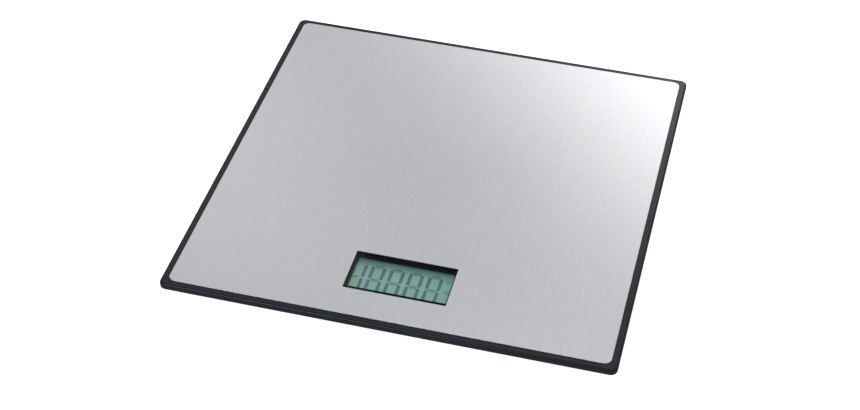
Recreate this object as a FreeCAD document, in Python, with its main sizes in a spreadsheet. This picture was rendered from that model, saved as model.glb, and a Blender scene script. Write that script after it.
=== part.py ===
import FreeCAD, Part
import math
import os
import Sketcher

# A flat electronic parcel scale: a brushed steel plate inset in a thin black tray, with a
# liquid crystal display behind a window near the front edge. Four sensor feet carry the tray.
# Frame: millimetres, origin on the floor under the middle, +X right, -Y front, +Z up.

DIMENSIONS = {
    # outline of the tray and its levels
    "tray_width": 312,
    "tray_depth": 320,
    "tray_corner": 5,
    "skirt_low": 19.0,
    "skirt_wall": 2.5,
    "deck_low": 20.8,
    "deck_top": 22.8,
    "rim_top": 23.6,
    "rim_round": 1.6,
    "skirt_round": 0.8,
    "rib_low": 18.6,
    "rib_thick": 1.6,
    "rib_x_length": 280,
    "rib_y_length": 232,
    # steel plate and its tape
    "plate_width": 302,
    "plate_depth": 310,
    "plate_corner": 5,
    "plate_low": 23.2,
    "plate_top": 24.0,
    "plate_gap": 0.5,
    "plate_edge": 0.25,
    "tape_wide": 18,
    "tape_side_inset": 5,
    "tape_end_inset": 2,
    # display window
    "window_y": -112.2,
    "window_width": 71.4,
    "window_depth": 37.1,
    "window_corner": 0.6,
    "lens_gap": 0.2,
    "lens_flange": 2.0,
    "lens_low": 22.0,
    "lens_step": 23.1,
    "lens_top": 23.9,
    "lens_recess_gap": 0.3,
    "lens_recess_corner": 1.5,
    "lens_corner": 1.2,
    "shaft_width": 72.4,
    "shaft_depth": 38.0,
    "shaft_corner": 1,
    "mask_low": 21.9,
    "mask_gap": 0.1,
    "mask_band": 4.1,
    "mask_corner": 0.9,
    "clear_corner": 0.4,
    # display module
    "board_low": 12.0,
    "board_top": 13.6,
    "board_width": 102,
    "board_depth": 46,
    "board_corner": 1.5,
    "board_hole": 1.4,
    "chip_x": -6,
    "chip_size": 12,
    "chip_thick": 1.4,
    "chip_legs_long": 14.4,
    "chip_legs_wide": 10.4,
    "chip_legs_thick": 0.3,
    "resistor_x": -36,
    "resistor_y": 9,
    "resistor_pitch": 5,
    "resistor_long": 2,
    "resistor_wide": 1.2,
    "resistor_thick": 0.6,
    "capacitor_x": 14,
    "capacitor_y": 12,
    "capacitor_radius": 2.5,
    "capacitor_tall": 4,
    "crystal_x": 10,
    "crystal_y": 4,
    "crystal_wide": 3,
    "crystal_long": 8,
    "crystal_thick": 2.5,
    "frame_width": 84,
    "frame_depth": 46,
    "frame_top": 20.6,
    "frame_corner": 1,
    "glass_width": 78,
    "glass_depth": 41,
    "glass_low": 16.2,
    "glass_top": 18.4,
    "glass_gap": 0.2,
    "view_width": 68.4,
    "view_depth": 38.6,
    "view_corner": 0.5,
    "reflector_low": 15.9,
    "reflector_inset": 1,
    "zebra_inset": 2,
    "zebra_y": 19.0,
    "zebra_wide": 2.4,
    "board_boss": 3.2,
    "thin_pilot": 1.05,
    "thick_pilot": 1.3,
    "pilot_top": 19.5,
    "screw_tip": 18.5,
    "screw_slot_deep": 0.8,
    "screw_slot_wide": 0.6,
    "screw_slot_share": 1.1,
    "thin_shank": 1.0,
    "board_screw_head": 2.5,
    "board_head_thick": 1.6,
    "cover_screw_head": 2.9,
    "cover_screw_shank": 1.25,
    "cover_head_thick": 1.8,
    "retainer_screw_head": 2.4,
    "retainer_head_thick": 1.6,
    "board_screw_x": 47,
    "board_screw_y": 18,
    "socket_x": 46,
    "socket_wide": 6,
    "socket_long": 9,
    "socket_top": 17.6,
    "socket_rear_y": -105.5,
    # lower cover
    "cover_gap": 0.3,
    "cover_inset": 10,
    "cover_slope": 44,
    "cover_floor": 4.5,
    "cover_floor_top": 6.3,
    "cover_side_wall": 2.5,
    "cover_corner": 14,
    "cover_flange_corner": 2.2,
    "floor_round": 1.5,
    "collar_wall": 1.6,
    "collar_rise": 1.2,
    "post_radius": 4.5,
    "post_meet": 12.0,
    "counterbore": 3.3,
    "counterbore_top": 8.6,
    "screw_clear": 1.6,
    # sensor corners
    "cell_x": 112,
    "cell_y": 116,
    "cell_size": 34,
    "cell_low": 13.0,
    "cell_top": 15.5,
    "tongue_width": 15,
    "tongue_slot": 2,
    "slot_front": 12,
    "slot_rear": 9,
    "tongue_hole": 2.05,
    "cell_corner": 2,
    "gauge_y": 8.5,
    "gauge_long": 8,
    "gauge_wide": 4,
    "gauge_thick": 0.15,
    "seat_size": 40,
    "seat_opening": 28,
    "retainer_low": 11.0,
    "retainer_opening": 27,
    "retainer_gap": 0.2,
    "retainer_corner": 2,
    "wire_notch": 6.4,
    "ear_hole": 1.25,
    "ear_out": 22.5,
    "ear_side": 8,
    "ear_radius": 3.5,
    # feet
    "foot_hole": 16.5,
    "foot_radius": 15,
    "foot_low": 1.2,
    "foot_high": 5.0,
    "neck_radius": 6,
    "pin_radius": 1.95,
    "groove_radius": 1.4,
    "groove_low": 15.7,
    "groove_high": 16.3,
    "pin_top": 17.0,
    "pad_radius": 12.9,
    "pad_top": 2.2,
    "foot_round": 0.8,
    "pad_gap": 0.1,
    "pad_low": 0,
    "pad_round": 0.4,
    "clip_gap": 0.05,
    "clip_radius": 3.6,
    "clip_mouth_wide": 2,
    "clip_mouth_long": 4,
    "clip_mouth_y": -3,
    # batteries
    "bay_y": -40,
    "bay_length": 50.6,
    "bay_width": 23.0,
    "bay_wall": 1.7,
    "bay_slab": 7.1,
    "bay_ceiling": 18.0,
    "bay_top": 19.6,
    "cell_radius": 5.25,
    "cell_length": 44.5,
    "cell_nub": 0.8,
    "cell_pitch": 12,
    "cell_level": 12.5,
    "contact_thick": 0.4,
    "contact_half_tall": 4.8,
    "tab_wide": 9,
    "bridge_wide": 21,
    "nub_radius": 1.9,
    "spring_wire": 0.35,
    "spring_radius": 4.0,
    "spring_gap": 0.05,
    "bay_margin": 3,
    "notch_wide": 6,
    "notch_long": 12,
    "notch_deep": 1.4,
    "notch_out": 3,
    "door_length": 52.0,
    "door_width": 24.4,
    "door_gap": 0.3,
    "door_round": 1.2,
    "door_pin": 0.7,
    "door_pin_long": 1.2,
    "pin_clear": 0.05,
    "grip_wide": 0.8,
    "grip_long": 10,
    "grip_deep": 0.5,
    "grip_first": 3,
    "grip_pitch": 1.8,
    # unit button
    "button_x": 30,
    "button_y": -122,
    "button_radius": 5,
    "button_flange": 7,
    "button_low": 4.8,
    "button_shoulder": 7.3,
    "button_clear": 0.3,
    "button_stub": 2.5,
    "plunger_low": 7.7,
    "plunger_radius": 1.7,
    "plunger_in": 1.1,
    "plunger_clear": 0.08,
    "switch_bore_deep": 2.1,
    "switch_low": 8.5,
    "switch_size": 6.2,
    # wires
    "supply_level": 12.8,
    "supply_bend": 4,
    "supply_front_x": 34,
    "supply_rear_x": 38,
    "supply_hole": 0.6,
    "wire_radius": 0.45,
    "wire_level": 14.25,
    "wire_pitch": 2,
    "wire_y": 118,
    "wire_turn_x": 66,
    "wire_bend": 7,
}

CORNERS = {"fl": (-1, -1), "fr": (1, -1), "rl": (-1, 1), "rr": (1, 1)}
COVER_SCREWS = [(-65, -128), (65, -128), (-65, 128), (65, 128)]
COVER_SCREWS += [(-125, -45), (125, -45), (-125, 45), (125, 45)]
BOARD_SCREWS = list(CORNERS.values())
RIBS_ALONG_X = [-84, -62, -12, 20, 52, 84]
RIBS_ALONG_Y = [-80, -58, 58, 80]
DOOR_AXIS_X = "-dims.door_length / 2 + dims.door_round"
DOOR_AXIS_Z = "dims.cover_floor + dims.door_round"
GRIP_LINES = 4
SPRING_TURNS = 3
SPRING_WIRE_SIDES = 8


Vector = FreeCAD.Vector
doc = FreeCAD.newDocument("parcel_scale")
dims = doc.addObject("Spreadsheet::Sheet", "dims")
for row, (alias, number) in enumerate(DIMENSIONS.items(), start=1):
    dims.set(f"A{row}", alias)
    dims.set(f"B{row}", str(number))
    dims.setAlias(f"B{row}", alias)
doc.recompute()

nodes = []


# ---------------------------------------------------------------- helpers

def value(expression):
    """The number that an expression on the sheet gives."""
    return float(dims.evalExpression(expression.replace("dims.", "")))


def node(feature, name):
    """Register a finished sub-part under its own name."""
    feature.Label = name
    nodes.append(feature)
    return feature


def new_body(name):
    return node(doc.addObject("PartDesign::Body", name), name)


def place(feature, x="0", y="0", z="0"):
    """Bind a placement to expressions."""
    for axis, expression in zip("xyz", (x, y, z)):
        feature.setExpression(f"Placement.Base.{axis}", expression)


def origin_plane(body, role):
    return next(item for item in body.Origin.OriginFeatures if item.Role == role)


def primitive(owner, shape, name, cut):
    """A primitive in a body, or a free one in the document."""
    if owner is None:
        return doc.addObject(f"Part::{shape}", name)
    kind = "Subtractive" if cut else "Additive"
    return owner.newObject(f"PartDesign::{kind}{shape}", name)


def box(owner, name, width, depth, low, high, x="0", y="0", cut=False):
    """A box centred on x, y between two levels."""
    feature = primitive(owner, "Box", name, cut)
    feature.setExpression("Length", width)
    feature.setExpression("Width", depth)
    feature.setExpression("Height", f"({high}) - ({low})")
    place(feature, f"({x}) - ({width}) / 2", f"({y}) - ({depth}) / 2", low)
    return feature


def cylinder(owner, name, radius, low, high, x="0", y="0", cut=False):
    """An upright cylinder between two levels."""
    feature = primitive(owner, "Cylinder", name, cut)
    feature.setExpression("Radius", radius)
    feature.setExpression("Height", f"({high}) - ({low})")
    place(feature, x, y, low)
    return feature


def lying_cylinder(owner, name, radius, length, axis, x, y, z, cut=False):
    """A cylinder along +X or +Y that starts at a point."""
    feature = primitive(owner, "Cylinder", name, cut)
    turn = (Vector(0, 1, 0), 90) if axis == "x" else (Vector(1, 0, 0), -90)
    feature.Placement = FreeCAD.Placement(Vector(), FreeCAD.Rotation(*turn))
    feature.setExpression("Radius", radius)
    feature.setExpression("Height", length)
    place(feature, x, y, z)
    return feature


def rounded_outline(body, name, width, depth, radius, x, y, z):
    """A fully constrained rounded rectangle, parallel to the floor."""
    sketch = body.newObject("Sketcher::SketchObject", name)
    sketch.AttachmentSupport = (origin_plane(body, "XY_Plane"), [""])
    sketch.MapMode = "FlatFace"
    for axis, expression in zip("xyz", (x, y, z)):
        sketch.setExpression(f"AttachmentOffset.Base.{axis}", expression)
    half_x = value(width) / 2
    half_y = value(depth) / 2
    bend = value(radius)
    quarter = math.pi / 2
    runs = [
        ((bend - half_x, -half_y), (half_x - bend, -half_y)),
        ((half_x, bend - half_y), (half_x, half_y - bend)),
        ((half_x - bend, half_y), (bend - half_x, half_y)),
        ((-half_x, half_y - bend), (-half_x, bend - half_y)),
    ]
    centres = [(1, -1), (1, 1), (-1, 1), (-1, -1)]
    lines = []
    arcs = []
    for index, ((start, end), (sign_x, sign_y)) in enumerate(zip(runs, centres)):
        lines.append(sketch.addGeometry(Part.LineSegment(Vector(*start), Vector(*end))))
        middle = Vector(sign_x * (half_x - bend), sign_y * (half_y - bend))
        circle = Part.Circle(middle, Vector(0, 0, 1), bend)
        turn = (index - 1) * quarter
        arcs.append(sketch.addGeometry(Part.ArcOfCircle(circle, turn, turn + quarter)))
    rules = []
    for index in range(4):
        rules.append(Sketcher.Constraint("Tangent", lines[index], 2, arcs[index], 1))
        rules.append(Sketcher.Constraint("Tangent", arcs[index], 2, lines[(index + 1) % 4], 1))
        if index:
            rules.append(Sketcher.Constraint("Equal", arcs[0], arcs[index]))
    rules.append(Sketcher.Constraint("Horizontal", lines[0]))
    rules.append(Sketcher.Constraint("Vertical", lines[1]))
    rules.append(Sketcher.Constraint("Horizontal", lines[2]))
    rules.append(Sketcher.Constraint("Symmetric", arcs[1], 3, arcs[3], 3, -1, 1))
    sketch.addConstraint(rules)
    sizes = {
        "corner": (Sketcher.Constraint("Radius", arcs[0], bend), radius),
        "across": (Sketcher.Constraint("DistanceX", lines[3], 1, lines[1], 1, 2 * half_x), width),
        "along": (Sketcher.Constraint("DistanceY", lines[0], 1, lines[2], 1, 2 * half_y), depth),
    }
    for label, (rule, expression) in sizes.items():
        sketch.renameConstraint(sketch.addConstraint(rule), label)
        sketch.setExpression(f"Constraints.{label}", expression)
    return sketch


def slab(body, name, width, depth, radius, low, high, x="0", y="0"):
    """Add a block with rounded corners between two levels."""
    feature = body.newObject("PartDesign::Pad", name)
    feature.Profile = rounded_outline(body, f"{name}_outline", width, depth, radius, x, y, low)
    feature.setExpression("Length", f"({high}) - ({low})")
    return feature


def opening(body, name, width, depth, radius, low, high, x="0", y="0", slope=None):
    """Cut a rounded opening from its high level down to its low level."""
    outline = rounded_outline(body, f"{name}_outline", width, depth, radius, x, y, high)
    feature = body.newObject("PartDesign::Pocket", name)
    feature.Profile = outline
    feature.setExpression("Length", f"({high}) - ({low})")
    if slope:
        feature.setExpression("TaperAngle", f"-({slope})")
    return feature


def round_edges(body, name, radius, level, keep=lambda edge: True):
    """Round every edge of the body that lies at one level."""
    doc.recompute()
    base = body.Tip
    height = value(level)
    chosen = []
    for number, edge in enumerate(base.Shape.Edges, start=1):
        flat = abs(edge.BoundBox.ZMin - height) < 1e-4 and abs(edge.BoundBox.ZMax - height) < 1e-4
        if flat and keep(edge):
            chosen.append(f"Edge{number}")
    feature = body.newObject("PartDesign::Fillet", name)
    feature.Base = (base, chosen)
    feature.setExpression("Radius", radius)
    return feature


def assemble(name, shell, added, removed):
    """One sub-part: a shell with pieces fused onto it and then others cut away."""
    fused = doc.addObject("Part::MultiFuse", f"{name}_fused")
    fused.Shapes = [shell] + added
    tools = doc.addObject("Part::MultiFuse", f"{name}_removed")
    tools.Shapes = removed
    finished = doc.addObject("Part::Cut", name)
    finished.Base = fused
    finished.Tool = tools
    finished.Refine = True
    return node(finished, name)


def group(name, parts):
    """One node that holds several separate solids."""
    compound = doc.addObject("Part::Compound", name)
    compound.Links = parts
    return node(compound, name)


def screw(name, head_radius, shank_radius, head_low, head_high, tip, x, y):
    """A pan head screw that points up, with a cross recess under its head."""
    head = cylinder(None, f"{name}_head", head_radius, head_low, head_high, x, y)
    shank = cylinder(None, f"{name}_shank", shank_radius, head_high, tip, x, y)
    solid = doc.addObject("Part::MultiFuse", f"{name}_solid")
    solid.Shapes = [head, shank]
    slot_top = f"{head_low} + dims.screw_slot_deep"
    slot_long = f"{head_radius} * dims.screw_slot_share"
    slot_wide = "dims.screw_slot_wide"
    slots = [
        box(None, f"{name}_slot_x", slot_long, slot_wide, head_low, slot_top, x, y),
        box(None, f"{name}_slot_y", slot_wide, slot_long, head_low, slot_top, x, y),
    ]
    recess = doc.addObject("Part::MultiFuse", f"{name}_recess")
    recess.Shapes = slots
    finished = doc.addObject("Part::Cut", name)
    finished.Base = solid
    finished.Tool = recess
    return finished


def routed_wire(name, points, radius, bend):
    """A round wire along straight runs joined by tangent arcs."""
    edges = []
    start = points[0]
    for before, corner, after in zip(points, points[1:], points[2:]):
        toward = (before - corner).normalize()
        onward = (after - corner).normalize()
        half_turn = toward.getAngle(onward) / 2
        reach = bend / math.tan(half_turn)
        centre = corner + (toward + onward).normalize() * (bend / math.sin(half_turn))
        middle = centre + (corner - centre).normalize() * bend
        first = corner + toward * reach
        last = corner + onward * reach
        edges.append(Part.LineSegment(start, first).toShape())
        edges.append(Part.Arc(first, middle, last).toShape())
        start = last
    edges.append(Part.LineSegment(start, points[-1]).toShape())
    spine = Part.Wire(edges)
    direction = (points[1] - points[0]).normalize()
    section = Part.Wire([Part.Circle(points[0], direction, radius).toShape()])
    wire = doc.addObject("Part::Feature", name)
    wire.Shape = spine.makePipeShell([section], True, True)
    return wire


# ---------------------------------------------------------------- platform

def make_plate():
    """The brushed steel plate, with the window cut out of it."""
    body = new_body("platform_plate")
    slab(body, "sheet", "dims.plate_width", "dims.plate_depth", "dims.plate_corner",
         "dims.plate_low", "dims.plate_top")
    round_edges(body, "sheet_edge", "dims.plate_edge", "dims.plate_top")
    opening(body, "window", "dims.window_width", "dims.window_depth", "dims.window_corner",
            "dims.plate_low", "dims.plate_top", y="dims.window_y")


def make_tape():
    """Foam tape strips that bond the plate to the tray."""
    wide = "dims.tape_wide"
    long_side = "dims.plate_depth - 2 * dims.tape_side_inset"
    short_side = "dims.plate_width - 3 * dims.tape_wide"
    side_x = "dims.plate_width / 2 - dims.tape_side_inset - dims.tape_wide / 2"
    end_y = "dims.plate_depth / 2 - dims.tape_end_inset - dims.tape_wide / 2"
    strips = {
        "tape_left": (wide, long_side, f"-({side_x})", "0"),
        "tape_right": (wide, long_side, side_x, "0"),
        "tape_front": (short_side, wide, "0", f"-({end_y})"),
        "tape_middle": (short_side, wide, "0", "0"),
        "tape_rear": (short_side, wide, "0", end_y),
    }
    parts = []
    for name, (width, depth, x, y) in strips.items():
        parts.append(box(None, name, width, depth, "dims.deck_top", "dims.plate_low", x, y))
    group("plate_tape", parts)


def make_tray():
    """The black upper shell: rim, deck, skirt, ribs, sensor seats and screw bosses."""
    shell = doc.addObject("PartDesign::Body", "tray_shell")
    slab(shell, "block", "dims.tray_width", "dims.tray_depth", "dims.tray_corner",
         "dims.skirt_low", "dims.rim_top")
    round_edges(shell, "rim_fillet", "dims.rim_round", "dims.rim_top")
    round_edges(shell, "skirt_fillet", "dims.skirt_round", "dims.skirt_low")
    opening(shell, "plate_recess", "dims.plate_width + 2 * dims.plate_gap",
            "dims.plate_depth + 2 * dims.plate_gap", "dims.plate_corner + dims.plate_gap",
            "dims.deck_top", "dims.rim_top")
    opening(shell, "hollow", "dims.tray_width - 2 * dims.skirt_wall",
            "dims.tray_depth - 2 * dims.skirt_wall", "dims.tray_corner - dims.skirt_wall",
            "dims.skirt_low", "dims.deck_low")
    flange = "2 * (dims.lens_flange + dims.lens_recess_gap)"
    opening(shell, "lens_recess", f"dims.window_width + {flange}",
            f"dims.window_depth + {flange}", "dims.lens_recess_corner", "dims.lens_low",
            "dims.deck_top", y="dims.window_y")
    opening(shell, "display_shaft", "dims.shaft_width", "dims.shaft_depth", "dims.shaft_corner",
            "dims.deck_low", "dims.lens_low", y="dims.window_y")
    added = []
    removed = []
    for index, y in enumerate(RIBS_ALONG_X):
        added.append(box(None, f"rib_x{index}", "dims.rib_x_length", "dims.rib_thick",
                         "dims.rib_low", "dims.deck_low", y=str(y)))
    for index, x in enumerate(RIBS_ALONG_Y):
        added.append(box(None, f"rib_y{index}", "dims.rib_thick", "dims.rib_y_length",
                         "dims.rib_low", "dims.deck_low", x=str(x)))
    for corner, (side, end) in CORNERS.items():
        x = f"{side} * dims.cell_x"
        y = f"{end} * dims.cell_y"
        added.append(box(None, f"seat_{corner}", "dims.seat_size", "dims.seat_size",
                         "dims.cell_top", "dims.deck_low", x, y))
        removed.append(box(None, f"seat_opening_{corner}", "dims.seat_opening",
                           "dims.seat_opening", "dims.cell_top", "dims.deck_low", x, y))
        for number, (ear_x, ear_y) in enumerate(ears(side, end)):
            add_boss(added, removed, f"seat_{corner}{number}", "dims.ear_radius",
                     "dims.thin_pilot", "dims.cell_top", f"{x} + {ear_x}", f"{y} + {ear_y}")
    for number, (x, y) in enumerate(COVER_SCREWS):
        add_boss(added, removed, f"cover_{number}", "dims.post_radius", "dims.thick_pilot",
                 "dims.post_meet", str(x), str(y))
    for number, (side, end) in enumerate(BOARD_SCREWS):
        add_boss(added, removed, f"board_{number}", "dims.board_boss", "dims.thin_pilot",
                 "dims.board_top", f"{side} * dims.board_screw_x",
                 f"dims.window_y + {end} * dims.board_screw_y")
    assemble("platform_tray", shell, added, removed)


def add_boss(added, removed, name, radius, pilot, low, x, y):
    """A screw boss under the deck and its blind pilot hole."""
    added.append(cylinder(None, f"{name}_boss", radius, low, "dims.deck_low", x, y))
    removed.append(cylinder(None, f"{name}_pilot", pilot, low, "dims.pilot_top", x, y))


def ears(side, end):
    """Where a retainer's two screw ears are, from the middle of its sensor."""
    return [(f"{-side} * dims.ear_out", f"{-end} * dims.ear_side"),
            ("0", f"{-end} * dims.ear_out")]


# ---------------------------------------------------------------- display

def make_lens():
    """Clear window: a flange under the plate and a pad that fills the cut-out."""
    body = new_body("display_lens")
    slab(body, "flange", "dims.window_width + 2 * dims.lens_flange",
         "dims.window_depth + 2 * dims.lens_flange", "dims.lens_corner", "dims.lens_low",
         "dims.lens_step", y="dims.window_y")
    slab(body, "pad", "dims.window_width - 2 * dims.lens_gap",
         "dims.window_depth - 2 * dims.lens_gap", "dims.window_corner - dims.lens_gap",
         "dims.lens_step", "dims.lens_top", y="dims.window_y")


def make_mask():
    """Black print under the lens, with a band along its front and its rear."""
    body = new_body("display_mask")
    slab(body, "print", "dims.shaft_width - 2 * dims.mask_gap",
         "dims.shaft_depth - 2 * dims.mask_gap", "dims.mask_corner", "dims.mask_low",
         "dims.lens_low", y="dims.window_y")
    opening(body, "clear_area", "dims.window_width", "dims.window_depth - 2 * dims.mask_band",
            "dims.clear_corner", "dims.mask_low", "dims.lens_low", y="dims.window_y")


def make_display():
    """Display frame, glass, reflector and contact strips above the board."""
    frame = new_body("lcd_frame")
    slab(frame, "frame_block", "dims.frame_width", "dims.frame_depth", "dims.frame_corner",
         "dims.board_top", "dims.frame_top", y="dims.window_y")
    opening(frame, "view", "dims.view_width", "dims.view_depth", "dims.view_corner",
            "dims.board_top", "dims.frame_top", y="dims.window_y")
    opening(frame, "glass_pocket", "dims.glass_width + 2 * dims.glass_gap",
            "dims.glass_depth + 2 * dims.glass_gap", "dims.view_corner", "dims.board_top",
            "dims.glass_top", y="dims.window_y")
    glass = new_body("lcd_glass")
    box(glass, "glass_sheet", "dims.glass_width", "dims.glass_depth", "dims.glass_low",
        "dims.glass_top", y="dims.window_y")
    reflector = new_body("lcd_reflector")
    box(reflector, "film", "dims.glass_width - 2 * dims.reflector_inset",
        "2 * dims.zebra_y - dims.zebra_wide - dims.reflector_inset",
        "dims.reflector_low", "dims.glass_low", y="dims.window_y")
    strips = []
    for name, end in (("front", -1), ("rear", 1)):
        strips.append(box(None, f"zebra_{name}", "dims.glass_width - 2 * dims.zebra_inset",
                          "dims.zebra_wide", "dims.board_top", "dims.glass_low",
                          y=f"dims.window_y + {end} * dims.zebra_y"))
    group("zebra_strips", strips)


def make_board():
    """Circuit board with its chip, small components, sockets and screws."""
    board = new_body("main_pcb")
    slab(board, "laminate", "dims.board_width", "dims.board_depth", "dims.board_corner",
         "dims.board_low", "dims.board_top", y="dims.window_y")
    for number, (side, end) in enumerate(BOARD_SCREWS):
        cylinder(board, f"board_hole_{number}", "dims.board_hole", "dims.board_low",
                 "dims.board_top", f"{side} * dims.board_screw_x",
                 f"dims.window_y + {end} * dims.board_screw_y", cut=True)
    chip = new_body("pcb_chip")
    box(chip, "chip_package", "dims.chip_size", "dims.chip_size",
        "dims.board_low - dims.chip_thick", "dims.board_low", "dims.chip_x", "dims.window_y")
    box(chip, "chip_legs", "dims.chip_legs_long", "dims.chip_legs_wide",
        "dims.board_low - dims.chip_legs_thick", "dims.board_low", "dims.chip_x",
        "dims.window_y")
    parts = []
    for row, way in enumerate((-1, 1)):
        for column in range(5):
            parts.append(box(None, f"resistor_{row}{column}", "dims.resistor_long",
                             "dims.resistor_wide", "dims.board_low - dims.resistor_thick",
                             "dims.board_low",
                             f"dims.resistor_x + {column} * dims.resistor_pitch",
                             f"dims.window_y + {way} * dims.resistor_y"))
    parts.append(cylinder(None, "capacitor", "dims.capacitor_radius",
                          "dims.board_low - dims.capacitor_tall", "dims.board_low",
                          "dims.capacitor_x", "dims.window_y + dims.capacitor_y"))
    parts.append(box(None, "crystal", "dims.crystal_wide", "dims.crystal_long",
                     "dims.board_low - dims.crystal_thick", "dims.board_low",
                     "dims.crystal_x", "dims.window_y - dims.crystal_y"))
    group("pcb_components", parts)
    sockets = []
    for side in (-1, 1):
        for name, y in (("front", "-dims.wire_y"), ("rear", "dims.socket_rear_y")):
            sockets.append(box(None, f"socket_{name}{side + 1}", "dims.socket_wide",
                               "dims.socket_long", "dims.board_top", "dims.socket_top",
                               f"{side} * dims.socket_x", y))
    group("wire_sockets", sockets)
    screws = []
    for number, (side, end) in enumerate(BOARD_SCREWS):
        screws.append(screw(f"board_screw_{number}", "dims.board_screw_head", "dims.thin_shank",
                            "dims.board_low - dims.board_head_thick", "dims.board_low",
                            "dims.screw_tip", f"{side} * dims.board_screw_x",
                            f"dims.window_y + {end} * dims.board_screw_y"))
    group("pcb_screws", screws)


def make_unit_button():
    """The unit button in the floor of the cover, and the switch that it presses."""
    x = "dims.button_x"
    y = "dims.button_y"
    button = new_body("unit_button")
    cylinder(button, "cap", "dims.button_radius", "dims.button_low", "dims.cover_floor_top",
             x, y)
    cylinder(button, "button_rim", "dims.button_flange", "dims.cover_floor_top",
             "dims.button_shoulder", x, y)
    cylinder(button, "button_stub", "dims.button_stub", "dims.button_shoulder", "dims.plunger_low", x, y)
    plunger = new_body("switch_plunger")
    cylinder(plunger, "plunger_rod", "dims.plunger_radius", "dims.plunger_low",
             "dims.switch_low + dims.plunger_in", x, y)
    switch = new_body("unit_switch")
    box(switch, "switch_case", "dims.switch_size", "dims.switch_size", "dims.switch_low",
        "dims.board_low", x, y)
    cylinder(switch, "switch_bore", "dims.plunger_radius + dims.plunger_clear",
             "dims.switch_low", "dims.switch_low + dims.switch_bore_deep", x, y, cut=True)


# ---------------------------------------------------------------- lower cover

def make_cover():
    """The dished lower shell, with posts, foot holes, the battery bay and the button hole."""
    shell = doc.addObject("PartDesign::Body", "cover_shell")
    slab(shell, "flange_ring", "dims.tray_width - 2 * (dims.skirt_wall + dims.cover_gap)",
         "dims.tray_depth - 2 * (dims.skirt_wall + dims.cover_gap)", "dims.cover_flange_corner",
         "dims.skirt_low", "dims.deck_low")
    dish = shell.newObject("PartDesign::Pad", "dish")
    dish.Profile = rounded_outline(shell, "dish_outline",
                                   "dims.tray_width - 2 * dims.cover_inset",
                                   "dims.tray_depth - 2 * dims.cover_inset",
                                   "dims.cover_corner", "0", "0", "dims.skirt_low")
    dish.setExpression("Length", "dims.skirt_low - dims.cover_floor")
    dish.Reversed = True
    dish.setExpression("TaperAngle", "-dims.cover_slope")
    round_edges(shell, "floor_fillet", "dims.floor_round", "dims.cover_floor")
    lean = "(dims.deck_low - dims.skirt_low) * tan(dims.cover_slope * 1 deg)"
    inset = f"(dims.cover_inset + dims.cover_side_wall - {lean})"
    opening(shell, "cavity", f"dims.tray_width - 2 * {inset}", f"dims.tray_depth - 2 * {inset}",
            "dims.cover_corner", "dims.cover_floor_top", "dims.deck_low",
            slope="dims.cover_slope")
    added = []
    removed = []
    collar_top = "dims.cover_floor_top + dims.collar_rise"
    for corner, (side, end) in CORNERS.items():
        x = f"{side} * dims.cell_x"
        y = f"{end} * dims.cell_y"
        added.append(cylinder(None, f"foot_collar_{corner}", "dims.foot_hole + dims.collar_wall",
                              "dims.cover_floor", collar_top, x, y))
        removed.append(cylinder(None, f"foot_hole_{corner}", "dims.foot_hole",
                                "dims.cover_floor", collar_top, x, y))
    for number, (x, y) in enumerate(COVER_SCREWS):
        added.append(cylinder(None, f"post_{number}", "dims.post_radius", "dims.cover_floor",
                              "dims.post_meet", str(x), str(y)))
        removed.append(cylinder(None, f"post_hole_{number}", "dims.screw_clear",
                                "dims.cover_floor", "dims.post_meet", str(x), str(y)))
        removed.append(cylinder(None, f"counterbore_{number}", "dims.counterbore",
                                "dims.cover_floor", "dims.counterbore_top", str(x), str(y)))
    outer_x = "dims.bay_length + 2 * dims.bay_wall"
    outer_y = "dims.bay_width + 2 * dims.bay_wall"
    added.append(box(None, "bay_thickening", f"{outer_x} + 2 * dims.bay_margin",
                     f"{outer_y} + 2 * dims.bay_margin", "dims.cover_floor", "dims.bay_slab",
                     y="dims.bay_y"))
    added.append(box(None, "bay_walls", outer_x, outer_y, "dims.cover_floor", "dims.bay_top",
                     y="dims.bay_y"))
    removed.append(box(None, "bay_room", "dims.bay_length", "dims.bay_width",
                       "dims.cover_floor", "dims.bay_ceiling", y="dims.bay_y"))
    removed.append(box(None, "door_recess", "dims.door_length + 2 * dims.door_gap",
                       "dims.door_width + 2 * dims.door_gap", "dims.cover_floor",
                       "dims.bay_slab", y="dims.bay_y"))
    removed.append(box(None, "finger_notch", "dims.notch_wide", "dims.notch_long",
                       "dims.cover_floor", "dims.cover_floor + dims.notch_deep",
                       "dims.door_length / 2 + dims.notch_out", "dims.bay_y"))
    reach = "(dims.door_width / 2 + dims.door_gap)"
    for name, end in (("front", -1), ("rear", 1)):
        start = f"dims.bay_y + {end} * {reach} - {int(end < 0)} * dims.door_pin_long"
        removed.append(lying_cylinder(None, f"pin_hole_{name}",
                                      "dims.door_pin + dims.pin_clear", "dims.door_pin_long",
                                      "y", DOOR_AXIS_X, start, DOOR_AXIS_Z))
        removed.append(lying_cylinder(None, f"wire_hole_{name}", "dims.supply_hole",
                                      "dims.bay_wall", "x", "dims.bay_length / 2",
                                      f"dims.bay_y + {end} * dims.cell_pitch / 2",
                                      "dims.supply_level"))
    removed.append(cylinder(None, "button_hole", "dims.button_radius + dims.button_clear",
                            "dims.cover_floor", "dims.cover_floor_top", "dims.button_x",
                            "dims.button_y"))
    assemble("bottom_cover", shell, added, removed)


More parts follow.
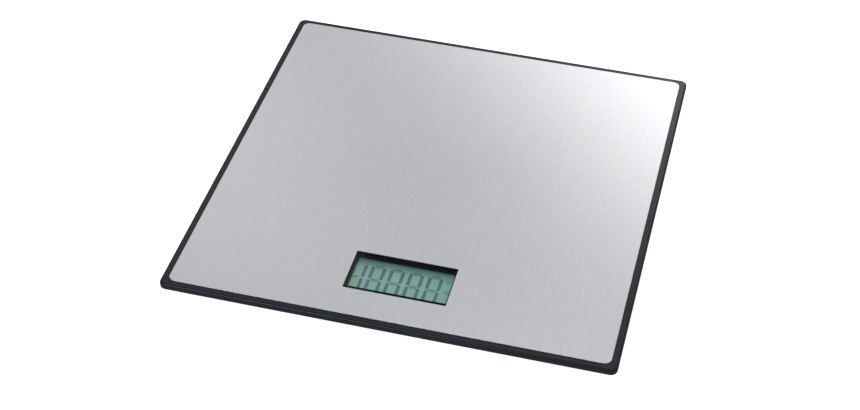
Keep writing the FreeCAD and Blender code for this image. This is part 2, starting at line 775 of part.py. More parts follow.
def make_door():
    """Battery door: a plate with a round hinge end, two hinge pins and a grip ridge."""
    body = new_body("battery_door")
    thickness_top = "dims.cover_floor + 2 * dims.door_round"
    box(body, "door_leaf", "dims.door_length - dims.door_round", "dims.door_width",
        "dims.cover_floor", thickness_top, "dims.door_round / 2", "dims.bay_y")
    lying_cylinder(body, "hinge_end", "dims.door_round", "dims.door_width", "y", DOOR_AXIS_X,
                   "dims.bay_y - dims.door_width / 2", DOOR_AXIS_Z)
    lying_cylinder(body, "hinge_pins", "dims.door_pin",
                   "dims.door_width + 2 * dims.door_pin_long", "y", DOOR_AXIS_X,
                   "dims.bay_y - dims.door_width / 2 - dims.door_pin_long", DOOR_AXIS_Z)
    for number in range(GRIP_LINES):
        box(body, f"grip_{number}", "dims.grip_wide", "dims.grip_long", "dims.cover_floor",
            "dims.cover_floor + dims.grip_deep",
            f"dims.door_length / 2 - dims.grip_first - {number} * dims.grip_pitch",
            "dims.bay_y", cut=True)


# ---------------------------------------------------------------- batteries

def make_batteries():
    """Two AAA cells side by side, pointing opposite ways, with contacts and springs."""
    plate_in = "dims.bay_length / 2 - dims.contact_thick"
    contact_low = "dims.cell_level - dims.contact_half_tall"
    contact_high = "dims.cell_level + dims.contact_half_tall"
    contacts = []
    springs = []
    for name, end in (("battery_front", 1), ("battery_rear", -1)):
        y = f"dims.bay_y - {end} * dims.cell_pitch / 2"
        body = new_body(name)
        start = f"({plate_in} - dims.cell_length)" if end > 0 else f"-({plate_in}) + dims.cell_nub"
        lying_cylinder(body, f"{name}_can", "dims.cell_radius",
                       "dims.cell_length - dims.cell_nub", "x", start, y, "dims.cell_level")
        nub = f"{plate_in} - dims.cell_nub" if end > 0 else f"-({plate_in})"
        lying_cylinder(body, f"{name}_nub", "dims.nub_radius", "dims.cell_nub", "x", nub, y,
                       "dims.cell_level")
        springs.append(make_spring(f"{name}_spring", end, value(y)))
        contacts.append(box(None, f"{name}_tab", "dims.contact_thick", "dims.tab_wide",
                            contact_low, contact_high,
                            "dims.bay_length / 2 - dims.contact_thick / 2", y))
    contacts.append(box(None, "bridge_plate", "dims.contact_thick", "dims.bridge_wide",
                        contact_low, contact_high,
                        "-(dims.bay_length / 2 - dims.contact_thick / 2)", "dims.bay_y"))
    group("battery_contacts", contacts)
    group("battery_springs", springs)


def make_spring(name, end, y):
    """A coiled contact spring, wound from eight-sided wire, at a battery's flat end."""
    wire = value("dims.spring_wire")
    coil_radius = value("dims.spring_radius")
    gap = value("dims.spring_gap")
    room = value("dims.bay_length - 2 * dims.contact_thick - dims.cell_length")
    height = room - 2 * (wire + gap)
    helix = Part.makeHelix(height / SPRING_TURNS, height, coil_radius)
    corners = []
    for side in range(SPRING_WIRE_SIDES + 1):
        turn = math.radians(360 / SPRING_WIRE_SIDES * (side + 0.5))
        corners.append(Vector(coil_radius + wire * math.cos(turn), 0, wire * math.sin(turn)))
    coil = Part.Wire(helix).makePipeShell([Part.makePolygon(corners)], True, True)
    plate = value("dims.bay_length / 2 - dims.contact_thick") - wire - gap
    spring = doc.addObject("Part::Feature", name)
    spring.Shape = coil
    turn = FreeCAD.Rotation(Vector(0, 1, 0), 90 * end)
    spring.Placement = FreeCAD.Placement(Vector(-end * plate, y, value("dims.cell_level")), turn)
    return spring


def make_battery_wires():
    """Two supply wires from the contact plates to the edge of the board."""
    level = value("dims.supply_level")
    start_x = value("dims.bay_length / 2")
    board_edge = value("dims.window_y + dims.board_depth / 2")
    wires = []
    for name, end in (("supply_front", -1), ("supply_rear", 1)):
        turn_x = value(f"dims.{name}_x")
        y = value(f"dims.bay_y + {end} * dims.cell_pitch / 2")
        points = [
            Vector(start_x, y, level),
            Vector(turn_x, y, level),
            Vector(turn_x, board_edge, level),
        ]
        wires.append(routed_wire(name, points, value("dims.wire_radius"),
                                 value("dims.supply_bend")))
    group("battery_wires", wires)


# ---------------------------------------------------------------- sensor corners

def make_corner(corner, side, end):
    """One sensor corner: load cell, gauge, retainer, wires, foot, pad and clip."""
    x = f"{side} * dims.cell_x"
    y = f"{end} * dims.cell_y"

    cell = new_body(f"load_cell_{corner}")
    place(cell, x, y)
    slab(cell, f"cell_plate_{corner}", "dims.cell_size", "dims.cell_size", "dims.cell_corner",
         "dims.cell_low", "dims.cell_top")
    slot_x = "(dims.tongue_width + dims.tongue_slot) / 2"
    for name, way in (("left", -1), ("right", 1)):
        box(cell, f"slot_{name}_{corner}", "dims.tongue_slot", "dims.slot_front + dims.slot_rear",
            "dims.cell_low", "dims.cell_top", f"{way} * {slot_x}",
            "(dims.slot_rear - dims.slot_front) / 2", cut=True)
    box(cell, f"slot_cross_{corner}", "dims.tongue_width + 2 * dims.tongue_slot",
        "dims.tongue_slot", "dims.cell_low", "dims.cell_top",
        y="-dims.slot_front + dims.tongue_slot / 2", cut=True)
    cylinder(cell, f"tongue_hole_{corner}", "dims.tongue_hole", "dims.cell_low",
             "dims.cell_top", cut=True)

    gauge = new_body(f"strain_gauge_{corner}")
    place(gauge, x, y)
    box(gauge, f"gauge_film_{corner}", "dims.gauge_long", "dims.gauge_wide", "dims.cell_top",
        "dims.cell_top + dims.gauge_thick", y="dims.gauge_y")

    retainer = new_body(f"cell_retainer_{corner}")
    place(retainer, x, y)
    slab(retainer, f"retainer_block_{corner}", "dims.seat_size", "dims.seat_size",
         "dims.retainer_corner", "dims.retainer_low", "dims.cell_top")
    for number, (ear_x, ear_y) in enumerate(ears(side, end)):
        cylinder(retainer, f"ear_{corner}{number}", "dims.ear_radius", "dims.retainer_low",
                 "dims.cell_top", ear_x, ear_y)
        cylinder(retainer, f"ear_hole_{corner}{number}", "dims.ear_hole", "dims.retainer_low",
                 "dims.cell_top", ear_x, ear_y, cut=True)
    pocket = "dims.cell_size + 2 * dims.retainer_gap"
    box(retainer, f"cell_pocket_{corner}", pocket, pocket, "dims.cell_low", "dims.cell_top",
        cut=True)
    box(retainer, f"retainer_opening_{corner}", "dims.retainer_opening",
        "dims.retainer_opening", "dims.retainer_low", "dims.cell_low", cut=True)
    box(retainer, f"wire_notch_{corner}", "dims.seat_size / 2", "dims.wire_notch",
        "dims.cell_low", "dims.cell_top", f"{-side} * dims.seat_size / 2",
        f"{end} * (dims.wire_y - dims.cell_y)", cut=True)

    foot = new_body(f"foot_{corner}")
    place(foot, x, y)
    cylinder(foot, f"foot_disc_{corner}", "dims.foot_radius", "dims.foot_low", "dims.foot_high")
    round_edges(foot, f"foot_round_{corner}", "dims.foot_round", "dims.foot_low")
    cylinder(foot, f"foot_neck_{corner}", "dims.neck_radius", "dims.foot_low", "dims.cell_low")
    cylinder(foot, f"foot_pin_{corner}", "dims.pin_radius", "dims.cell_low", "dims.groove_low")
    cylinder(foot, f"foot_groove_{corner}", "dims.groove_radius", "dims.groove_low",
             "dims.groove_high")
    cylinder(foot, f"foot_tip_{corner}", "dims.pin_radius", "dims.groove_high", "dims.pin_top")
    cylinder(foot, f"pad_socket_{corner}", "dims.pad_radius + dims.pad_gap", "dims.foot_low",
             "dims.pad_top", cut=True)

    pad = new_body(f"foot_pad_{corner}")
    place(pad, x, y)
    cylinder(pad, f"pad_disc_{corner}", "dims.pad_radius", "dims.pad_low", "dims.pad_top")
    round_edges(pad, f"pad_round_{corner}", "dims.pad_round", "dims.pad_low")

    clip = new_body(f"foot_clip_{corner}")
    place(clip, x, y)
    clip_low = "dims.groove_low + dims.clip_gap"
    clip_high = "dims.groove_high - dims.clip_gap"
    cylinder(clip, f"clip_ring_{corner}", "dims.clip_radius", clip_low, clip_high)
    cylinder(clip, f"clip_bore_{corner}", "dims.groove_radius + dims.clip_gap", clip_low,
             clip_high, cut=True)
    box(clip, f"clip_mouth_{corner}", "dims.clip_mouth_wide", "dims.clip_mouth_long", clip_low,
        clip_high, y="dims.clip_mouth_y", cut=True)

    make_cell_wires(corner, side, end)


def make_cell_wires(corner, side, end):
    """Three wires from a load cell to its socket on the board."""
    level = value("dims.wire_level")
    start_x = value("dims.cell_x - dims.cell_size / 2")
    finish_x = value("dims.socket_x + dims.socket_wide / 2")
    turn_x = value("dims.wire_turn_x")
    radius = value("dims.wire_radius")
    wires = []
    for number in (-1, 0, 1):
        shift = number * value("dims.wire_pitch")
        start_y = end * value("dims.wire_y") + shift
        points = [Vector(side * start_x, start_y, level)]
        if end > 0:
            finish_y = value("dims.socket_rear_y") + shift
            points.append(Vector(side * (turn_x - shift), start_y, level))
            points.append(Vector(side * (turn_x - shift), finish_y, level))
            points.append(Vector(side * finish_x, finish_y, level))
        else:
            points.append(Vector(side * finish_x, start_y, level))
        name = f"wire_{corner}_{number + 1}"
        wires.append(routed_wire(name, points, radius, value("dims.wire_bend")))
    group(f"cell_wires_{corner}", wires)


# ---------------------------------------------------------------- fasteners

def make_fasteners():
    """Screws of the cover and of the sensor retainers."""
    screws = []
    for number, (x, y) in enumerate(COVER_SCREWS):
        screws.append(screw(f"cover_screw_{number}", "dims.cover_screw_head",
                            "dims.cover_screw_shank",
                            "dims.counterbore_top - dims.cover_head_thick",
                            "dims.counterbore_top", "dims.screw_tip", str(x), str(y)))
    group("cover_screws", screws)
    screws = []
    for corner, (side, end) in CORNERS.items():
        for number, (ear_x, ear_y) in enumerate(ears(side, end)):
            x = f"{side} * dims.cell_x + {ear_x}"
            y = f"{end} * dims.cell_y + {ear_y}"
            screws.append(screw(f"retainer_screw_{corner}{number}", "dims.retainer_screw_head",
                                "dims.thin_shank",
                                "dims.retainer_low - dims.retainer_head_thick",
                                "dims.retainer_low", "dims.screw_tip", x, y))
    group("retainer_screws", screws)


# ---------------------------------------------------------------- build and write

def build():
    make_plate()
    make_tape()
    make_tray()
    make_lens()
    make_mask()
    make_display()
    make_board()
    make_unit_button()
    make_cover()
    make_door()
    make_batteries()
    make_battery_wires()
    for corner, (side, end) in CORNERS.items():
        make_corner(corner, side, end)
    make_fasteners()
    doc.recompute()


def check_and_write():
    """Stop on any failed object, then write each sub-part to its own file."""
    for item in doc.Objects:
        if {"Invalid", "Error"} & set(item.State):
            raise RuntimeError(f"{item.Label} failed: {item.State}")
    for item in nodes:
        if item.Shape.isNull() or not item.Shape.isValid():
            raise RuntimeError(f"{item.Label} has no valid shape")
    os.makedirs("parts", exist_ok=True)
    for item in nodes:
        item.Shape.exportStep(f"parts/{item.Label}.step")


build()
check_and_write()
print(len(nodes), "nodes written")
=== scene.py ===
"""Flat electronic parcel scale: looks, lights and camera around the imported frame, in metres."""
import math
import bpy
import bmesh
from mathutils import Matrix, Vector


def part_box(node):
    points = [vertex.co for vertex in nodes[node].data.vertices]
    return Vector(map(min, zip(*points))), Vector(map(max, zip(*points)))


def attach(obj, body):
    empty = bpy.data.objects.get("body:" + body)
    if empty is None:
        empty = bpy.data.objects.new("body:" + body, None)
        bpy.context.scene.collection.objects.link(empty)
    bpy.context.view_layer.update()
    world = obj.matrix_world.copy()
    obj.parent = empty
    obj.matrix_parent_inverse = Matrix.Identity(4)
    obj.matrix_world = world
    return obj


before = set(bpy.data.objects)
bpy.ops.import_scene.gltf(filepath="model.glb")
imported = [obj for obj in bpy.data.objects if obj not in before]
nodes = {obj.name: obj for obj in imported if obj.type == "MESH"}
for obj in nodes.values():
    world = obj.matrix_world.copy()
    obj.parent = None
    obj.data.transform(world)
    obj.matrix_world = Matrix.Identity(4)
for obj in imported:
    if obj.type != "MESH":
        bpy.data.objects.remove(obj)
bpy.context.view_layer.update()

MM = 0.001
CORNERS = ("fl", "fr", "rl", "rr")
ROOT = "scale_body"

# display glass and its segments
PANEL_GREEN = (0.39, 0.72, 0.55)
PANEL_PALE = (0.43, 0.77, 0.60)
DIGITS = 4
DIGIT_PITCH = 13.35 * MM
DIGIT_MIDDLE = -0.9 * MM
FIRST_BAR = -27.1 * MM
FIRST_DIGIT = 5.0 * MM
HALF_HEIGHT = 14.3 * MM
BAR_SPACING = 7.95 * MM
BAR_WIDTH = 2.35 * MM
BAR_POINT = 1.1 * MM
CROSS_WIDTH = 1.9 * MM
CROSS_POINT = 0.9 * MM
CROSS_TRIM = 0.6 * MM
MINUS_OUT = 4.4 * MM
MINUS_LENGTH = 4.6 * MM
MINUS_POINT = 0.8 * MM
SEGMENT_GAP = 0.35 * MM
# how far each cross bar's painted shadow sits towards the front of the bar
SHADOW_PAINT_DROP = 1.3 * MM
FILM_THICK = 0.03 * MM
INK_THICK = 0.06 * MM

# unit marks: each text's distance behind the glass's middle
FLAGS = {"lb": 8.2 * MM, "kg": -1.6 * MM}
FLAG_RIGHT = 29.6 * MM
FLAG_SIZE = 4.4 * MM
FLAG_LIFT = 0.031 * MM

# camera
CAMERA_PLACE = (0.2213, -0.9514, 0.8436)
CAMERA_YAW = math.radians(13.54)
CAMERA_DIP = math.radians(40.99)
CAMERA_ROLL = math.radians(1.19)
CAMERA_LENS = 74.05
SENSOR_WIDTH = 36
NEAR_CLIP = 0.01

# studio; each light has its side, rise, power, size and colour
LIGHT_DISTANCE = 1.6
LIGHTS = {
    "key_rear": (0, 62, 1.1, 0.5, (1, 1, 1)),
    "low_back": (-4, 22, 1.7, 0.6, (1, 1, 1)),
    "low_right": (12, 31, 2.0, 0.6, (1, 1, 1)),
    "mid_left": (-34, 38, 0.8, 0.6, (1, 1, 1)),
    "front_left": (-157, 44, 5, 0.5, (0.85, 0.89, 1)),
}
WORLD_STRENGTH = 0.32
FLOOR_REACH = 6
FLOOR_GLOW = 0.95

scene = bpy.context.scene


# ---------------------------------------------------------------- material building blocks

class Shader:
    """A small helper that builds one node material."""

    def __init__(self, name):
        self.material = bpy.data.materials.new(name)
        self.material.use_nodes = True
        self.tree = self.material.node_tree
        self.tree.nodes.clear()
        self.output = self.add("ShaderNodeOutputMaterial")
        self.surface = self.add("ShaderNodeBsdfPrincipled")
        self.link(self.surface.outputs["BSDF"], self.output.inputs["Surface"])
        self.place = self.add("ShaderNodeTexCoord").outputs["Object"]

    def add(self, kind, **settings):
        made = self.tree.nodes.new(kind)
        for key, setting in settings.items():
            setattr(made, key, setting)
        return made

    def link(self, start, end):
        self.tree.links.new(start, end)

    def set(self, **sockets):
        """Fix values on the shader's own sockets."""
        for key, setting in sockets.items():
            self.surface.inputs[key.replace("_", " ")].default_value = setting

    def stretched(self, scale):
        """Object coordinates scaled along each axis."""
        mapping = self.add("ShaderNodeMapping")
        mapping.inputs["Scale"].default_value = scale
        self.link(self.place, mapping.inputs["Vector"])
        return mapping.outputs["Vector"]

    def noise(self, scale, detail=4.0, rough=0.55, stretch=(1, 1, 1)):
        texture = self.add("ShaderNodeTexNoise")
        texture.inputs["Scale"].default_value = scale
        texture.inputs["Detail"].default_value = detail
        texture.inputs["Roughness"].default_value = rough
        self.link(self.stretched(stretch), texture.inputs["Vector"])
        return texture.outputs["Fac"]

    def remap(self, value, low, high, start=0.3, end=0.7):
        """Map a pattern's middle range onto low to high."""
        spread = self.add("ShaderNodeMapRange")
        settings = (start, end, low, high)
        for socket, setting in zip(("From Min", "From Max", "To Min", "To Max"), settings):
            spread.inputs[socket].default_value = setting
        self.link(value, spread.inputs["Value"])
        return spread.outputs["Result"]

    def mix(self, factor, first, second):
        """Blend two colours; each is a tuple or a socket."""
        blend = self.add("ShaderNodeMix", data_type="RGBA")
        self.link(factor, blend.inputs["Factor"])
        for socket, colour in ((blend.inputs[6], first), (blend.inputs[7], second)):
            if isinstance(colour, tuple):
                socket.default_value = (*colour, 1)
            else:
                self.link(colour, socket)
        return blend.outputs[2]

    def math(self, operation, first, second):
        sum_node = self.add("ShaderNodeMath", operation=operation)
        for socket, term in zip(sum_node.inputs, (first, second)):
            if isinstance(term, (int, float)):
                socket.default_value = term
            else:
                self.link(term, socket)
        return sum_node.outputs["Value"]

    def drive(self, socket, value):
        self.link(value, self.surface.inputs[socket])

    def bump(self, height, distance, strength=1.0):
        relief = self.add("ShaderNodeBump")
        relief.inputs["Distance"].default_value = distance
        relief.inputs["Strength"].default_value = strength
        self.link(height, relief.inputs["Height"])
        self.link(relief.outputs["Normal"], self.surface.inputs["Normal"])


def clothe(piece, shader):
    """Give a piece one material on every slot."""
    if not piece.data.materials:
        piece.data.materials.append(shader.material)
    for index in range(len(piece.data.materials)):
        piece.data.materials[index] = shader.material


# ---------------------------------------------------------------- materials

def brushed_plate():
    """Stainless steel with a fine straight grain from front to back."""
    steel = Shader("plate_brushed")
    grain = steel.noise(1100, 3, 0.6, (1, 0.12, 1))
    streak = steel.noise(300, 2, 0.5, (1, 0.05, 1))
    cloud = steel.noise(7, 2, 0.5)
    tone = steel.math("ADD", steel.math("MULTIPLY", grain, 0.7),
                      steel.math("MULTIPLY", streak, 0.15))
    tone = steel.math("ADD", tone, steel.math("MULTIPLY", cloud, 0.15))
    steel.drive("Base Color", steel.mix(steel.remap(tone, 0, 1), (0.665, 0.668, 0.678),
                                        (0.74, 0.742, 0.75)))
    steel.drive("Roughness", steel.remap(tone, 0.32, 0.37))
    across = steel.add("ShaderNodeTangent")
    across.direction_type = "RADIAL"
    across.axis = "Y"
    steel.link(across.outputs["Tangent"], steel.surface.inputs["Tangent"])
    steel.set(Metallic=1.0, Anisotropic=0.4)
    steel.bump(grain, 0.000004, 0.5)
    return steel


def moulded(name, dark, light, roughness, grain=0.00002, scale=1800, coat=0.0, shine=0.5):
    """Moulded plastic with a fine spark-eroded texture and slow colour drift."""
    plastic = Shader(name)
    fine = plastic.noise(scale, 3, 0.6)
    slow = plastic.noise(18, 3, 0.5)
    tone = plastic.math("ADD", plastic.math("MULTIPLY", fine, 0.4),
                        plastic.math("MULTIPLY", slow, 0.6))
    plastic.drive("Base Color", plastic.mix(plastic.remap(tone, 0, 1), dark, light))
    plastic.drive("Roughness", plastic.remap(tone, roughness - 0.05, roughness + 0.05))
    plastic.bump(fine, grain, 0.6)
    plastic.set(Coat_Weight=coat, Specular_IOR_Level=shine)
    return plastic


def metal(name, colour, shine, roughness, stretch=(1, 1, 1)):
    """Plated or stamped metal with faint handling marks."""
    plated = Shader(name)
    marks = plated.noise(700, 4, 0.6, stretch)
    plated.drive("Base Color", plated.mix(plated.remap(marks, 0, 1), colour, shine))
    plated.drive("Roughness", plated.remap(marks, roughness, roughness + 0.12))
    plated.set(Metallic=1.0)
    plated.bump(marks, 0.000006, 0.4)
    return plated


def clear_window():
    """Polished acrylic: see-through with a faint mirror sheen."""
    lens = Shader("lens_acrylic")
    lens.tree.nodes.remove(lens.surface)
    through = lens.add("ShaderNodeBsdfTransparent")
    haze = lens.noise(900, 3, 0.6)
    lens.link(lens.mix(lens.remap(haze, 0, 1), (0.955, 0.975, 0.97), (0.985, 0.995, 0.99)),
              through.inputs["Color"])
    gloss = lens.add("ShaderNodeBsdfGlossy")
    lens.link(lens.remap(haze, 0.03, 0.08), gloss.inputs["Roughness"])
    facing = lens.add("ShaderNodeFresnel")
    facing.inputs["IOR"].default_value = 1.22
    side = lens.add("ShaderNodeNewGeometry")
    outer = lens.math("SUBTRACT", 1, side.outputs["Backfacing"])
    blend = lens.add("ShaderNodeMixShader")
    lens.link(lens.math("MULTIPLY", facing.outputs["Fac"], outer), blend.inputs[0])
    lens.link(through.outputs["BSDF"], blend.inputs[1])
    lens.link(gloss.outputs["BSDF"], blend.inputs[2])
    lens.link(blend.outputs["Shader"], lens.output.inputs["Surface"])
    return lens


def display_panel():
    """Reflective liquid crystal panel: grey green with a faint cell texture."""
    panel = Shader("lcd_panel_green")
    cell = panel.noise(2600, 2, 0.5)
    slow = panel.noise(30, 2, 0.5)
    tone = panel.math("ADD", panel.math("MULTIPLY", cell, 0.35),
                      panel.math("MULTIPLY", slow, 0.65))
    panel.drive("Base Color", panel.mix(panel.remap(tone, 0, 1), PANEL_GREEN, PANEL_PALE))
    panel.drive("Roughness", panel.remap(cell, 0.42, 0.5))
    panel.set(Specular_IOR_Level=0.25)
    return panel


def segment_ink(name, dark, light):
    """The dimmed liquid crystal of a segment; the same flat colour is also used for the painted
    shadows under the cross bars.
    """
    ink = Shader(name)
    patch = ink.noise(420, 3, 0.5)
    ink.drive("Base Color", ink.mix(ink.remap(patch, 0, 1), dark, light))
    ink.drive("Roughness", ink.remap(patch, 0.42, 0.5))
    ink.set(Specular_IOR_Level=0.25)
    return ink


def laminate():
    """Green solder resist over copper tracks."""
    board = Shader("board_resist")
    tracks = board.add("ShaderNodeTexVoronoi", distance="MANHATTAN")
    tracks.inputs["Scale"].default_value = 260
    board.link(board.place, tracks.inputs["Vector"])
    edge = board.remap(tracks.outputs["Distance"], 0, 1, 0.25, 0.35)
    board.drive("Base Color", board.mix(edge, (0.012, 0.11, 0.045), (0.02, 0.2, 0.08)))
    board.drive("Roughness", board.remap(edge, 0.28, 0.36))
    board.bump(edge, 0.00002, 0.5)
    return board


def foam():
    """Closed cell foam tape."""
    tape = Shader("tape_foam")
    cells = tape.add("ShaderNodeTexVoronoi")
    cells.inputs["Scale"].default_value = 1600
    tape.link(tape.place, cells.inputs["Vector"])
    tone = tape.remap(cells.outputs["Distance"], 0, 1, 0.1, 0.6)
    tape.drive("Base Color", tape.mix(tone, (0.6, 0.6, 0.57), (0.78, 0.78, 0.75)))
    tape.drive("Roughness", tape.remap(tone, 0.85, 0.95))
    tape.bump(cells.outputs["Distance"], 0.00008, 0.7)
    return tape


def dress_nodes():
    """Give every CAD node its material."""
    tray = moulded("tray_black", (0.008, 0.010, 0.014), (0.014, 0.017, 0.023), 0.27,
                   0.000008, 1500, shine=0.3)
    cover = moulded("cover_black", (0.014, 0.015, 0.018), (0.024, 0.026, 0.030), 0.55,
                    0.00004, 1200)
    foot = moulded("foot_black", (0.016, 0.017, 0.019), (0.028, 0.029, 0.032), 0.5,
                   0.00003, 1400)
    rubber = moulded("pad_rubber", (0.03, 0.03, 0.032), (0.055, 0.055, 0.058), 0.82,
                     0.00008, 900)
    natural = moulded("nylon_natural", (0.62, 0.6, 0.53), (0.72, 0.7, 0.63), 0.45)
    zinc = metal("zinc_bright", (0.55, 0.56, 0.58), (0.68, 0.69, 0.7), 0.25)
    looks = {
        "platform_plate": brushed_plate(),
        "platform_tray": tray,
        "bottom_cover": cover,
        "battery_door": cover,
        "display_lens": clear_window(),
        "display_mask": moulded("mask_print", (0.0015, 0.0015, 0.002), (0.003, 0.003, 0.0035),
                                0.6, 0.000004, 2600, shine=0.1),
        "lcd_frame": moulded("holder_black", (0.010, 0.013, 0.017), (0.018, 0.022, 0.028), 0.5),
        "lcd_glass": display_panel(),
        "lcd_reflector": metal("film_satin", (0.45, 0.58, 0.5), (0.55, 0.66, 0.58), 0.4),
        "plate_tape": foam(),
        "zebra_strips": moulded("strip_rubber", (0.05, 0.05, 0.055), (0.1, 0.1, 0.11), 0.7),
        "main_pcb": laminate(),
        "pcb_chip": moulded("chip_epoxy", (0.012, 0.012, 0.012), (0.022, 0.022, 0.022), 0.5),
        "pcb_components": moulded("ceramic_tan", (0.22, 0.16, 0.1), (0.36, 0.28, 0.2), 0.4),
        "wire_sockets": natural,
        "pcb_screws": zinc,
        "retainer_screws": zinc,
        "cover_screws": metal("zinc_black", (0.03, 0.03, 0.034), (0.06, 0.06, 0.066), 0.35),
        "unit_switch": moulded("switch_black", (0.02, 0.02, 0.02), (0.035, 0.035, 0.035), 0.45),
        "switch_plunger": moulded("plunger_red", (0.35, 0.03, 0.02), (0.45, 0.05, 0.03), 0.4),
        "unit_button": moulded("button_grey", (0.17, 0.18, 0.19), (0.24, 0.25, 0.26), 0.42,
                               0.00002, 1500),
        "battery_front": moulded("cell_wrap", (0.02, 0.03, 0.06), (0.035, 0.05, 0.09), 0.22,
                                 0.000004, 900, 0.5),
        "battery_contacts": metal("nickel_plate", (0.6, 0.59, 0.56), (0.72, 0.71, 0.68), 0.22),
        "battery_springs": metal("spring_wire", (0.58, 0.58, 0.56), (0.7, 0.7, 0.68), 0.25),
        "battery_wires": moulded("sleeve_red", (0.3, 0.015, 0.012), (0.4, 0.03, 0.025), 0.5),
    }
    looks["battery_rear"] = looks["battery_front"]
    cell = metal("cell_nickel", (0.5, 0.49, 0.46), (0.63, 0.62, 0.59), 0.3, (0.1, 1, 1))
    gauge = moulded("gauge_film", (0.4, 0.17, 0.03), (0.5, 0.24, 0.06), 0.3)
    clip = metal("clip_spring_steel", (0.3, 0.3, 0.31), (0.42, 0.42, 0.43), 0.3)
    sleeve = moulded("sleeve_white", (0.6, 0.6, 0.58), (0.7, 0.7, 0.68), 0.5)
    for corner in CORNERS:
        looks[f"load_cell_{corner}"] = cell
        looks[f"strain_gauge_{corner}"] = gauge
        looks[f"cell_retainer_{corner}"] = natural
        looks[f"cell_wires_{corner}"] = sleeve
        looks[f"foot_{corner}"] = foot
        looks[f"foot_pad_{corner}"] = rubber
        looks[f"foot_clip_{corner}"] = clip
    for name, shader in looks.items():
        clothe(nodes[name], shader)


# ---------------------------------------------------------------- display segments

def prism(mesh, outline, low, high):
    """Add an upright prism over a closed outline, counter-clockwise seen from above."""
    floor = [mesh.verts.new((x, y, low)) for x, y in outline]
    roof = [mesh.verts.new((x, y, high)) for x, y in outline]
    mesh.faces.new(roof)
    mesh.faces.new(list(reversed(floor)))
    count = len(outline)
    for index in range(count):
        after = (index + 1) % count
        mesh.faces.new((floor[index], floor[after], roof[after], roof[index]))


def bar(x, y, length, width, upright, point):
    """Outline of one segment: a bar with pointed ends, centred on x, y."""
    half = length / 2
    side = width / 2
    outline = [(half, 0), (half - point, side), (point - half, side), (-half, 0),
               (point - half, -side), (half - point, -side)]
    if upright:
        return [(x - across, y + along) for along, across in outline]
    return [(x + along, y + across) for along, across in outline]


def piece_from(mesh, name, shader):
    """Turn a finished mesh into a piece that rides on the scale's body."""
    data = bpy.data.meshes.new(name)
    mesh.to_mesh(data)
    mesh.free()
    piece = bpy.data.objects.new(name, data)
    scene.collection.objects.link(piece)
    clothe(piece, shader)
    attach(piece, ROOT)
    return piece


def make_segments():
    """All segments of the display, switched on, with a painted shadow under each cross bar: a
    darker copy moved towards the front stands in for the shadow the bar casts on the reflector.
    """
    low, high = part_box("lcd_glass")
    shaft_x = (low.x + high.x) / 2
    middle = (low.y + high.y) / 2 + DIGIT_MIDDLE
    top = high.z
    reach = HALF_HEIGHT - BAR_WIDTH / 2
    upright_length = reach - 2 * SEGMENT_GAP
    upright = bmesh.new()
    cross = bmesh.new()
    shadow_mesh = bmesh.new()
    film = (top, top + FILM_THICK)
    ink = (top, top + INK_THICK)
    bars = [FIRST_BAR]
    long = BAR_SPACING - 2 * SEGMENT_GAP - CROSS_TRIM
    for digit in range(DIGITS):
        left = FIRST_BAR + FIRST_DIGIT + digit * DIGIT_PITCH
        bars.append(left)
        bars.append(left + BAR_SPACING)
        centre = shaft_x + left + BAR_SPACING / 2
        for level in (-1, 0, 1):
            y = middle + level * reach
            prism(cross, bar(centre, y, long, CROSS_WIDTH, False, CROSS_POINT), *ink)
            # painted shadow: a darker copy of the cross bar, moved towards the front, stands in
            # for its shadow on the reflector
            outline = bar(centre, y - SHADOW_PAINT_DROP, long - CROSS_TRIM, CROSS_WIDTH, False,
                          CROSS_POINT)
            prism(shadow_mesh, outline, *film)
    for x in bars:
        for level in (-1, 1):
            y = middle + level * reach / 2
            outline = bar(shaft_x + x, y, upright_length, BAR_WIDTH, True, BAR_POINT)
            prism(upright, outline, *ink)
    minus = shaft_x + FIRST_BAR - MINUS_OUT
    prism(cross, bar(minus, middle, MINUS_LENGTH, CROSS_WIDTH, False, MINUS_POINT), *ink)
    # Both inks are the same dimmed liquid crystal, partly real colour and partly painted light:
    # the upright segments are painted darker as painted shade, since each upright bar's shadow on
    # the reflector lies right under it, and the cross segments are painted lighter because their
    # shadow falls beside them.
    piece_from(upright, "lcd_upright_segments",
               segment_ink("upright_ink_painted_shade", (0.17, 0.27, 0.34), (0.21, 0.32, 0.39)))
    piece_from(cross, "lcd_cross_segments",
               segment_ink("cross_ink_painted_light", (0.24, 0.42, 0.42), (0.28, 0.46, 0.45)))
    # painted shadows of the cross bars, a darker green than the panel
    piece_from(shadow_mesh, "lcd_segment_painted_shadows",
               segment_ink("segment_shadow_paint", (0.36, 0.50, 0.41), (0.40, 0.55, 0.44)))


def make_unit_flags():
    """Unit marks kg and lb at the right of the digits, as small raised letters."""
    low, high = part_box("lcd_glass")
    shader = segment_ink("flag_slate", (0.20, 0.36, 0.38), (0.24, 0.40, 0.42))
    for text, y in FLAGS.items():
        curve = bpy.data.curves.new(f"flag_{text}", "FONT")
        curve.body = text
        curve.size = FLAG_SIZE
        curve.extrude = FILM_THICK
        made = bpy.data.objects.new(f"flag_{text}_curve", curve)
        scene.collection.objects.link(made)
        bpy.context.view_layer.update()
        data = bpy.data.meshes.new_from_object(made)
        bpy.data.objects.remove(made)
        x = (low.x + high.x) / 2 + FLAG_RIGHT
        place = Vector((x, (low.y + high.y) / 2 + y, high.z + FLAG_LIFT))
        data.transform(Matrix.Translation(place))
        data.materials.clear()
        piece = bpy.data.objects.new(f"lcd_flag_{text}", data)
        scene.collection.objects.link(piece)
        clothe(piece, shader)
        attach(piece, ROOT)


# ---------------------------------------------------------------- studio

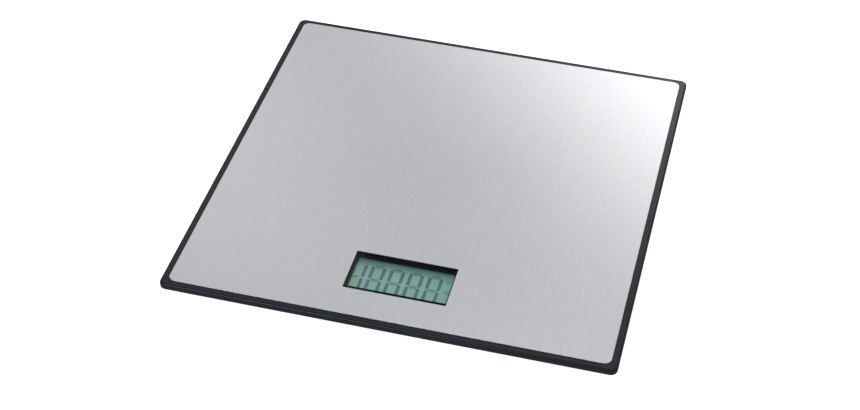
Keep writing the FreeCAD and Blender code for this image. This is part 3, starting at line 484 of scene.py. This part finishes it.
def make_camera():
    """The camera that looks down on the scale from the front right."""
    data = bpy.data.cameras.new("camera")
    data.lens = CAMERA_LENS
    data.sensor_width = SENSOR_WIDTH
    data.clip_start = NEAR_CLIP
    camera = bpy.data.objects.new("camera", data)
    turn = (Matrix.Rotation(CAMERA_YAW, 4, "Z") @ Matrix.Rotation(math.pi / 2 - CAMERA_DIP, 4, "X")
            @ Matrix.Rotation(CAMERA_ROLL, 4, "Z"))
    camera.matrix_world = Matrix.Translation(CAMERA_PLACE) @ turn
    scene.collection.objects.link(camera)
    scene.camera = camera


def softbox(name, side, rise, power, size, colour):
    """A square soft light that faces the scale; side is from +Y, clockwise seen from above."""
    data = bpy.data.lights.new(name, "AREA")
    data.shape = "SQUARE"
    data.size = size
    data.energy = power
    data.color = colour
    light = bpy.data.objects.new(name, data)
    turn = math.radians(side)
    lift = math.radians(rise)
    away = Vector((math.sin(turn) * math.cos(lift), math.cos(turn) * math.cos(lift),
                   math.sin(lift)))
    light.location = away * LIGHT_DISTANCE
    light.rotation_euler = away.to_track_quat("Z", "Y").to_euler()
    scene.collection.objects.link(light)


def make_studio():
    scene.view_settings.view_transform = "Standard"
    for name, (side, rise, power, size, colour) in LIGHTS.items():
        softbox(name, side, rise, power, size, colour)
    world = bpy.data.worlds.new("studio")
    world.use_nodes = True
    backdrop = world.node_tree.nodes["Background"]
    backdrop.inputs["Color"].default_value = (0.93, 0.96, 1, 1)
    backdrop.inputs["Strength"].default_value = WORLD_STRENGTH
    scene.world = world
    floor_mesh = bmesh.new()
    bmesh.ops.create_grid(floor_mesh, x_segments=2, y_segments=2, size=FLOOR_REACH)
    data = bpy.data.meshes.new("studio_floor")
    floor_mesh.to_mesh(data)
    floor_mesh.free()
    floor = bpy.data.objects.new("studio_floor", data)
    scene.collection.objects.link(floor)
    paper = Shader("paper_white")
    drift = paper.noise(3, 2, 0.5)
    paper.drive("Base Color", paper.mix(paper.remap(drift, 0, 1), (0.88, 0.88, 0.88),
                                        (0.9, 0.9, 0.9)))
    paper.set(Roughness=1.0, Specular_IOR_Level=0.0)
    paper.set(Emission_Color=(1, 1, 1, 1), Emission_Strength=FLOOR_GLOW)
    clothe(floor, paper)
    floor.visible_glossy = False


def main():
    dress_nodes()
    make_segments()
    make_unit_flags()
    make_camera()
    make_studio()


main()
